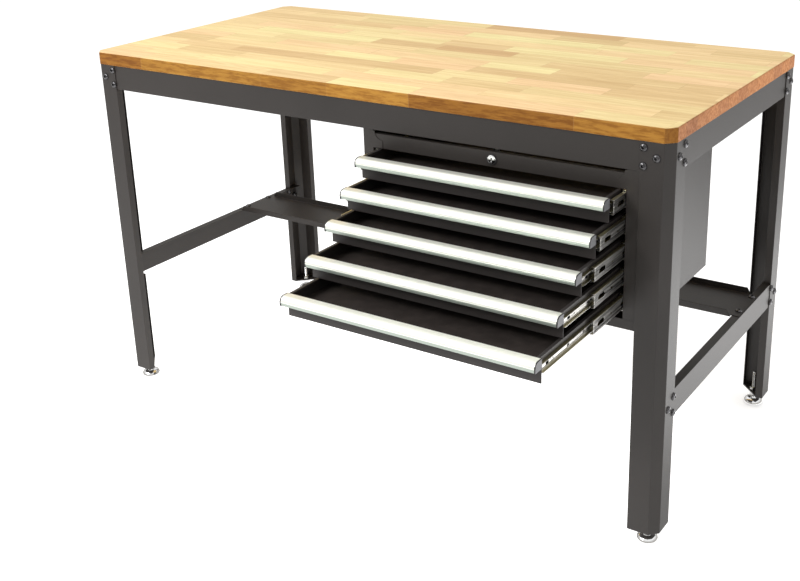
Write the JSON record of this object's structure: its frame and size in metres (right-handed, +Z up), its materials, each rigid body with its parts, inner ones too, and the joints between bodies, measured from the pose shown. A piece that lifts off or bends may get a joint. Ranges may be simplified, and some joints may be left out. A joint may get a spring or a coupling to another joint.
{
  "type": "workbench",
  "caption": "Free-standing workbench with a wooden worktop, folded steel legs on screw feet, a lower shelf and a lockable cabinet of shallow drawers on ball-bearing slides.",
  "frame": {"origin": "floor point at the middle of the bench's box, with the drawers drawn as at rest", "axes": "+X along the worktop's length, to the right seen from the drawers' side; +Y to the back; +Z up"},
  "size_m": [1.531, 1.0805, 0.9],
  "materials": {
    "wood": "satin",
    "frame_steel": "fine texture",
    "drawer_steel": "fine texture",
    "liner_rubber": "matte",
    "pull_aluminium": "satin",
    "cap_plastic": "matte",
    "zinc_steel": "zinc plated",
    "bolt_black": "black oxide",
    "foot_chrome": "polished",
    "lock_chrome": "polished"
  },
  "bodies": {
    "bench": {"worktop": "wood", "frame_bolts": "bolt_black", "foot_plates": "frame_steel", "foot_nuts": "zinc_steel", "lock_housing": "lock_chrome", "slide_outer": "zinc_steel", "front_apron": "frame_steel", "leg_front_left": "frame_steel", "leg_front_right": "frame_steel", "rear_apron": "frame_steel", "leg_rear_left": "frame_steel", "leg_rear_right": "frame_steel", "upper_side_rail_left": "frame_steel", "lower_side_rail_left": "frame_steel", "cabinet_side_left": "frame_steel", "upper_side_rail_right": "frame_steel", "lower_side_rail_right": "frame_steel", "cabinet_side_right": "frame_steel", "lower_shelf": "frame_steel", "cabinet_back": "frame_steel", "cabinet_base": "frame_steel", "lock_panel": "frame_steel", "rear_posts": "frame_steel"},
    "foot_front_left": {"foot_front_left": "foot_chrome"},
    "foot_front_right": {"foot_front_right": "foot_chrome"},
    "foot_rear_left": {"foot_rear_left": "foot_chrome"},
    "foot_rear_right": {"foot_rear_right": "foot_chrome"},
    "lock": {"lock_plug": "lock_chrome", "lock_cam": "zinc_steel"},
    "slide_1": {"slide_mid_1": "zinc_steel"},
    "drawer_1": {"tray_1": "drawer_steel", "liner_1": "liner_rubber", "pull_1": "pull_aluminium", "pull_caps_1": "cap_plastic", "slide_inner_1": "zinc_steel"},
    "slide_2": {"slide_mid_2": "zinc_steel"},
    "drawer_2": {"tray_2": "drawer_steel", "liner_2": "liner_rubber", "pull_2": "pull_aluminium", "pull_caps_2": "cap_plastic", "slide_inner_2": "zinc_steel"},
    "slide_3": {"slide_mid_3": "zinc_steel"},
    "drawer_3": {"tray_3": "drawer_steel", "liner_3": "liner_rubber", "pull_3": "pull_aluminium", "pull_caps_3": "cap_plastic", "slide_inner_3": "zinc_steel"},
    "slide_4": {"slide_mid_4": "zinc_steel"},
    "drawer_4": {"tray_4": "drawer_steel", "liner_4": "liner_rubber", "pull_4": "pull_aluminium", "pull_caps_4": "cap_plastic", "slide_inner_4": "zinc_steel"},
    "slide_5": {"slide_mid_5": "zinc_steel"},
    "drawer_5": {"tray_5": "drawer_steel", "liner_5": "liner_rubber", "pull_5": "pull_aluminium", "pull_caps_5": "cap_plastic", "slide_inner_5": "zinc_steel"}
  },
  "joints": [
    {"name": "foot_front_left_screw", "type": "slide", "parent": "bench", "child": "foot_front_left", "axis": [0, 0, -1], "range_m": [0, 0.025]},
    {"name": "foot_front_right_screw", "type": "slide", "parent": "bench", "child": "foot_front_right", "axis": [0, 0, -1], "range_m": [0, 0.025]},
    {"name": "foot_rear_left_screw", "type": "slide", "parent": "bench", "child": "foot_rear_left", "axis": [0, 0, -1], "range_m": [0, 0.025]},
    {"name": "foot_rear_right_screw", "type": "slide", "parent": "bench", "child": "foot_rear_right", "axis": [0, 0, -1], "range_m": [0, 0.025]},
    {"name": "lock_turn", "type": "hinge", "parent": "bench", "child": "lock", "pos_m": [0.377, -0.1953, 0.78575], "axis": [0, 1, 0], "range_deg": [0, 90]},
    {"name": "slide_1_run", "type": "slide", "parent": "bench", "child": "slide_1", "axis": [0, -1, 0], "range_m": [-0.056, 0.076]},
    {"name": "drawer_1_run", "type": "slide", "parent": "slide_1", "child": "drawer_1", "axis": [0, -1, 0], "range_m": [0, 0.198]},
    {"name": "slide_2_run", "type": "slide", "parent": "bench", "child": "slide_2", "axis": [0, -1, 0], "range_m": [-0.111, 0.021]},
    {"name": "drawer_2_run", "type": "slide", "parent": "slide_2", "child": "drawer_2", "axis": [0, -1, 0], "range_m": [0, 0.198]},
    {"name": "slide_3_run", "type": "slide", "parent": "bench", "child": "slide_3", "axis": [0, -1, 0], "range_m": [-0.132, 0]},
    {"name": "drawer_3_run", "type": "slide", "parent": "slide_3", "child": "drawer_3", "axis": [0, -1, 0], "range_m": [-0.035, 0.163]},
    {"name": "slide_4_run", "type": "slide", "parent": "bench", "child": "slide_4", "axis": [0, -1, 0], "range_m": [-0.132, 0]},
    {"name": "drawer_4_run", "type": "slide", "parent": "slide_4", "child": "drawer_4", "axis": [0, -1, 0], "range_m": [-0.105, 0.093]},
    {"name": "slide_5_run", "type": "slide", "parent": "bench", "child": "slide_5", "axis": [0, -1, 0], "range_m": [-0.132, 0]},
    {"name": "drawer_5_run", "type": "slide", "parent": "slide_5", "child": "drawer_5", "axis": [0, -1, 0], "range_m": [-0.186, 0.012]}
  ]
}
